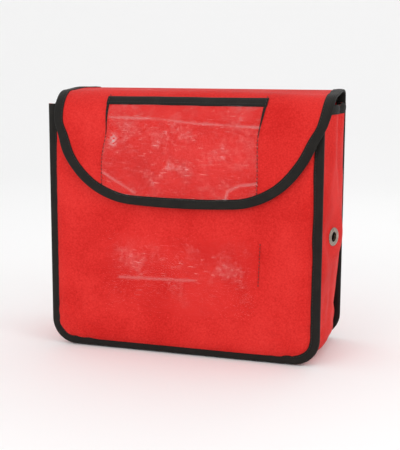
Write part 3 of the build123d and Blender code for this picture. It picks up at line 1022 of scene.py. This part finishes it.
def make_flap_window():
    """The clear pocket on the flap's front, creased and cloudy, with the tape along its top."""
    x_line = np.linspace(-window_half, window_half, 150) + window_centre
    share = np.linspace(0, 1, 130)[:, None]
    s = tape_start + 2 + (lower_limit(x_line) - tape_start - 2) * share
    x = np.broadcast_to(x_line, s.shape)
    z = shoulder_z - (s - shoulder_end)
    top_crease = near_line(x, z, [(-94, 277), (-36, 276), (10, 272), (94, 269)])
    left_crease = near_line(x, z, [(-96, 213), (-56, 191)])
    right_crease = near_line(x, z, [(92, 207), (70, 204), (57, 198), (53, 189)])
    crease = (bump(top_crease, 0, 1.3) + bump(left_crease, 0, 1.5) + bump(right_crease, 0, 1.5))
    crease = crease * (0.75 + 0.25 * ripple(x, z, 60, 60, 81))
    # A small bulge near the left stitches, which also carries a painted glint.
    bulge_with_painted_glint = bump(np.hypot(x + 87, (z - 251) / 1.5), 0, 4.2) * (0.7 + 0.5 * ripple(x, z, 4, 4, 84))
    loose = smooth(window_half - np.abs(x - window_centre), 2, 25)
    lift = pane_gap + 0.75 * crease + 0.35 * np.maximum(1 + ripple(x, z, 60, 45, 82), 0) * loose
    lift = lift + 0.5 * bulge_with_painted_glint
    grid = flap_offset(x, s, lift[..., None])
    lay = np.stack([x, s], -1)
    # marks whitens the film along the creases and on the bulge as a painted highlight.
    marks = np.clip(crease * 0.75 + bulge_with_painted_glint * 2.2, 0, 3)
    worn = 0.55 + 0.8 * bump(x + 10, 0, 75) * bump(z, 232, 32)
    pane = cloth("flap_window_pane", grid, lay, film, clear, extra={"crease": marks, "worn": worn})
    fix(pane, "clear_film", "fold", "flap_window_film")
    flat_area(lay)
    make_window_tape()
    for tag, side in (("right", 1), ("left", -1)):
        seam = window_centre + side * seam_x
        s = np.linspace(tape_start - 6, lower_limit(np.array([seam]))[0] + 2, 90)
        x = np.full(len(s), seam)
        over_tape = 1 - smooth(np.abs(s - (tape_start + tape_end) / 2), 6, 8)
        line = flap_offset(x, s, (1.55 + 0.45 * over_tape)[:, None])
        row = stitches(f"flap_window_stitches_{tag}", line, flap_normal(x, s), brown_thread, *window_stitch)
        fix(row, "seam_thread", "fold", *(("flap_window_seams",) if side > 0 else ()))
        fix(window_edge(tag, side), "seam_thread", "fold")


def window_edge(tag, side):
    """The dark edge of the window's inner binding, which shows beside the stitches near the tape."""
    s = np.linspace(tape_end - 1, tape_end + 34, 30)
    wide = 1.5 * (1 - 0.75 * smooth(s, tape_end, tape_end + 34))
    x = window_centre + side * seam_x + np.linspace(-1, 1, 5)[None, :] * wide[:, None]
    s = np.broadcast_to(s[:, None], x.shape)
    grid = flap_offset(x, s, 1.3)
    return cloth(f"flap_window_edge_{tag}", grid[:, ::-1], np.stack([x, s], -1)[:, ::-1], 0.3, black)


def make_window_tape():
    x = np.linspace(-95.5, 95.5, 120)[None, :] + window_centre
    inner = np.array([0, 0.35, 1.2, 3, 6.2, 9.4, 11.2, 12.0, 12.35])
    lift = np.array([0.75, 1.35, 1.6, 1.45, 1.75, 1.45, 1.6, 1.35, 0.75])
    s = (tape_start + inner)[:, None] + 0.25 * ripple(x, x * 0, 60, 60, 83)
    x = np.broadcast_to(x, s.shape)
    grid = flap_offset(x, s, (lift[:, None] + 0 * x)[..., None])
    obj = cloth("flap_window_top_tape", grid, np.stack([x, s], -1), tape, black)
    fix(obj, "binding_tape", "fold", "flap_window_tape")
    for tag, where in (("upper", 3.0), ("lower", 9.4)):
        line_x = np.linspace(-94, 94, 100) + window_centre
        line_s = np.full(100, tape_start + where)
        line = flap_offset(line_x, line_s, 1.85)
        row = stitches(f"flap_window_tape_stitches_{tag}", line, flap_normal(line_x, line_s), black_thread)
        fix(row, "seam_thread", "fold")


def strip(low, high, columns, rows):
    """The x and z of a grid over an upright box, from its top down."""
    return np.meshgrid(np.linspace(low[0], high[0], columns), np.linspace(high[2], low[2], rows))


def front_normal(x, z):
    return -slope_normal(front_place, x, z)


def make_front_window():
    """The clear patch low on the front panel, with one row of dark stitches at its right end."""
    low, high = box_mm("front_window_film")
    x, z = strip(low, high, 130, 90)
    edge = np.minimum.reduce([x - low[0], high[0] - x, z - low[2], high[2] - z])
    # crease paints a highlight on the film along the panel's crease line.
    crease = front_crease(x, z, 1.4) * 0.56
    worn = smooth(edge, 2, 30) * (0.3 + 0.9 * bump(z, 104, 22))
    lift = low_pane_gap + 0.35 * np.maximum(1 + ripple(x, z, 50, 40, 91), 0) * smooth(edge, 0, 14)
    grid = front_place(x, z) + front_normal(x, z) * lift[..., None]
    lay = np.stack([x, z], -1)
    pane = cloth("front_window_pane", grid, lay, film, clear_low, extra={"crease": crease, "worn": worn})
    fix(pane, "clear_film", "bag", "front_window_film")
    area = flat_area(lay)
    seam_low, seam_high = box_mm("front_window_seam")
    line_z = np.linspace(seam_high[2], seam_low[2], 40)
    line_x = np.linspace(97.2, 95.2, 40)
    line = front_place(line_x, line_z) + front_normal(line_x, line_z) * 1.25
    row = stitches("front_window_stitches", line, front_normal(line_x, line_z), brown_thread, *low_stitch)
    fix(row, "seam_thread", "bag", "front_window_seam")


# ---------------------------------------------------------------- fastener and eyelets


def make_fastener():
    """Hook tape on the front panel and loop tape behind the flap."""
    low, high = box_mm("hook_strip")
    x, z = strip(low, high, 60, 20)
    lift = fabric / 2 + 0.45 + 0.06 * ripple(x, z, 5, 5, 95)
    grid = front_place(x, z) + front_normal(x, z) * lift[..., None]
    obj = cloth("hook_tape", grid, np.stack([x, z], -1), 0.8, hooks)
    fix(obj, "hook_and_loop", "bag", "hook_strip")
    s = shoulder_end + shoulder_z - z
    grid = flap_offset(x - hang(x, s), s, -(fabric / 2 + 0.4))
    obj = cloth("loop_tape", grid, np.stack([x, s], -1), 0.7, loops)
    fix(obj, "hook_and_loop", "fold", "loop_strip")


def finish_hardware():
    """The eyelets and washers are metal, so the CAD parts show, in nickel."""
    for node in ("eyelet_right", "eyelet_left", "eyelet_washer_right", "eyelet_washer_left"):
        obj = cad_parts[node]
        obj.data.materials.clear()
        obj.data.materials.append(metal)


# ---------------------------------------------------------------- the blanket


blanket_gap_side = 7.5
blanket_gap_low = 4.5


def inside_gusset(x, y, z):
    """Pulls a blanket point in from the gusset's swelling sides and its rounded lower corners."""
    reach = side_reach(np.clip(y, front_seam, back_seam))
    swell = crest - seam_inner - low_pinch * (1 - smooth(z, 40, 150))
    wide = seam_inner + swell * reach - blanket_gap_side
    turn = seam_turn + turn_gain * reach
    floor_z = seam_sole * (1 - smooth(reach, 0.0, 0.52)) + blanket_gap_low
    z = np.maximum(z, floor_z)
    size = np.minimum(np.abs(x), wide)
    dx, dz = size - (wide - turn), z - (floor_z + turn)
    away = np.hypot(dx, dz)
    squeeze = np.where((dx > 0) & (dz < 0) & (away > turn), turn / np.maximum(away, 1e-6), 1.0)
    size = np.where(squeeze < 1, wide - turn + dx * squeeze, size)
    z = np.where(squeeze < 1, floor_z + turn + dz * squeeze, z)
    return join(np.sign(x) * size, y, z)


leaves = 5
layers = 3


def folded_line(low, high, shift):
    """The (y, z) path of one thickness of the blanket, to and fro. shift is its place within each leaf."""
    pitch = (high[1] - low[1]) / leaves
    ends = np.linspace(low[2] + pitch, high[2] - pitch, 14)
    line = []
    for leaf in range(leaves):
        sign = 1 if leaf % 2 == 0 else -1
        centre = low[1] + pitch * (leaf + 0.5)
        line += [(centre - shift * sign, z) for z in ends[::sign]]
        if leaf < leaves - 1:
            radius = pitch / 2 + shift * sign
            turn_z = high[2] - pitch if sign > 0 else low[2] + pitch
            for a in np.linspace(0, math.pi, 10)[1:-1]:
                y = centre + pitch / 2 - radius * math.cos(a)
                line.append((y, turn_z + sign * radius * math.sin(a)))
    return np.array(line)


def make_blanket():
    """The wool blanket, folded to and fro into upright leaves, each several thicknesses of cloth."""
    low, high = box_mm("folded_blanket")
    low, high = low + np.array([3.0, 2.5, 1.0]), high - np.array([3.0, 2.5, 1.5])
    ply = (high[1] - low[1]) / leaves / layers
    xs = np.linspace(low[0] + 2, high[0] - 2, 70)
    section = [(x, 0.47) for x in xs] + [(high[0], 0.25), (high[0] + 0.6, 0.0), (high[0], -0.25)]
    section += [(x, -0.47) for x in xs[::-1]] + [(low[0], -0.25), (low[0] - 0.6, 0.0), (low[0], 0.25)]
    section = np.array(section)
    across = section[None, :, 0]
    points, faces, base = [], [], 0
    for layer in range(layers):
        line = folded_line(low, high, (layer - (layers - 1) / 2) * ply)
        ahead = unit(np.gradient(line, axis=0))
        run = run_along(line)
        off = section[None, :, 1] * ply + 0.8 * ripple(run[:, None], across, 90, 130, 101)
        at_ends = np.abs(section[:, 0]) > high[0] - 3
        ends_in = 2.6 * ripple(run, run * 0, 110, 110, 102 + layer)[:, None] * at_ends
        x = across - np.sign(across) * np.abs(ends_in)
        y = line[:, :1] - ahead[:, 1:] * off
        z = line[:, 1:] + ahead[:, :1] * off
        grid = inside_gusset(*np.broadcast_arrays(x, y, z))
        points.append(grid.reshape(-1, 3))
        faces += [[base + k for k in face] for face in tube_faces(*grid.shape[:2])]
        base += len(points[-1])
    obj = add_object("blanket_wool", np.concatenate(points), faces, None, blanket_wool)
    fix(obj, "wool", "blanket", "folded_blanket")


def make_pull_tape(side):
    """White webbing sewn to the blanket's front leaf, its free end standing out of the mouth."""
    tag = "right" if side > 0 else "left"
    low, high = box_mm(f"pull_tape_{tag}")
    middle = (low[0] + high[0]) / 2
    z, x = np.meshgrid(np.linspace(high[2], low[2], 60), np.linspace(low[0], high[0], 14), indexing="ij")
    free = smooth(z, 262, high[2])
    y = (low[1] + high[1]) / 2 + 2.2 * free - 0.5 + 0.35 * ripple(z, x, 40, 50, 111 + side)
    x = middle + (x - middle) * (1 - 0.04 * bump(z, 258, 6)) + 1.2 * side * free
    obj = cloth(f"pull_webbing_{tag}", np.stack([x, y, z], -1), np.stack([z, x], -1), 1.6, white_webbing)
    fix(obj, "webbing", "blanket", f"pull_tape_{tag}")
    box_stitch = []
    for a, b in (((-9, 232), (9, 232)), ((9, 232), (9, 252)), ((9, 252), (-9, 252)), ((-9, 252), (-9, 232)),
                 ((-9, 232), (9, 252))):
        for t in np.linspace(0, 1, 8):
            box_stitch.append((middle + a[0] + (b[0] - a[0]) * t, low[1] - 0.75, a[1] + (b[1] - a[1]) * t))
    line = np.array(box_stitch)
    row = stitches(f"pull_stitches_{tag}", line, np.tile([0.0, -1.0, 0.0], (len(line), 1)), black_thread)
    fix(row, "seam_thread", "blanket")


# ---------------------------------------------------------------- stage, light and camera


# The paper runs from in front of the bag to a bend behind it, a hair below the bag's feet.
paper_reach = 6000
paper_drop = 0.4
backdrop_start = 1600
backdrop_bend = 1400
backdrop_top = 5000
camera_place = (0.36504, -1.1232, 0.3359)
camera_turn = (math.pi / 2 - 0.16091, -0.00398, 0.31314)
camera_lens = 78.42
camera_film = 36
world_strength = 0.94


def make_backdrop():
    """A pale floor that curves up into a backdrop, under an even white sky."""
    paper = Nodes("paper")
    paper.surface(Base_Color=(0.94, 0.94, 0.94, 1), Roughness=0.9)
    turn = np.linspace(0, math.pi / 2, 40)
    bend = backdrop_start + backdrop_bend * np.sin(turn)
    depth = np.concatenate([[-paper_reach], bend, bend[-1:]])
    height = np.concatenate([[0], backdrop_bend * (1 - np.cos(turn)), [backdrop_top]]) - paper_drop
    sweep = np.stack([join(x, depth, height) for x in (-paper_reach, paper_reach)], 1)
    faces = quads_of(len(depth), 2)[:, ::-1]
    floor = add_object("floor", sweep.reshape(-1, 3), faces, None, paper.material, closed=False)
    world = bpy.data.worlds.new("studio")
    world.use_nodes = True
    world.node_tree.nodes["Background"].inputs["Color"].default_value = (1, 1, 1, 1)
    world.node_tree.nodes["Background"].inputs["Strength"].default_value = world_strength
    bpy.context.scene.world = world


def add_lamp(name, place, aim, size, power, mirrored_in_gloss=False):
    """A round soft lamp, in metres and watts."""
    light = bpy.data.lights.new(name, "AREA")
    light.shape = "DISK"
    light.size = size
    light.energy = power
    obj = bpy.data.objects.new(name, light)
    obj.location = place
    obj.rotation_euler = (Vector(aim) - Vector(place)).to_track_quat("-Z", "Y").to_euler()
    obj.visible_glossy = mirrored_in_gloss
    bpy.context.scene.collection.objects.link(obj)


def make_camera():
    """The camera stands where the photo's did, a little right of the bag and above its top."""
    lens_data = bpy.data.cameras.new("camera")
    lens_data.sensor_fit = "VERTICAL"
    lens_data.sensor_height = camera_film
    lens_data.lens = camera_lens
    lens_data.clip_start = 0.05
    camera = bpy.data.objects.new("camera", lens_data)
    camera.location = camera_place
    camera.rotation_euler = Euler(camera_turn, "XYZ")
    bpy.context.scene.collection.objects.link(camera)
    bpy.context.scene.camera = camera
    bpy.context.scene.view_settings.view_transform = "Standard"


make_backdrop()
add_lamp("key", (-0.5, -1.9, 1.0), (0, 0, 0.12), 1.2, 7.0, mirrored_in_gloss=True)
add_lamp("fill", (1.1, -0.55, 0.95), (0.17, 0, 0.25), 0.5, 2.2)
add_lamp("rim", (0.2, 1.2, 1.3), (0, 0, 0.3), 0.8, 2)
make_camera()
make_gusset()
make_front_panel()
make_back_and_top()
make_flap()
bind_seam("seam_tape_front", front_seam, "seam_binding_front")
bind_seam("seam_tape_back", back_seam, "seam_binding_back")
bind_front_mouth()
for mirrored in (1, -1):
    bind_side_mouth(mirrored)
    bind_back_edge(mirrored)
    make_pull_tape(mirrored)
bind_flap()
make_flap_window()
make_front_window()
make_fastener()
finish_hardware()
make_blanket()
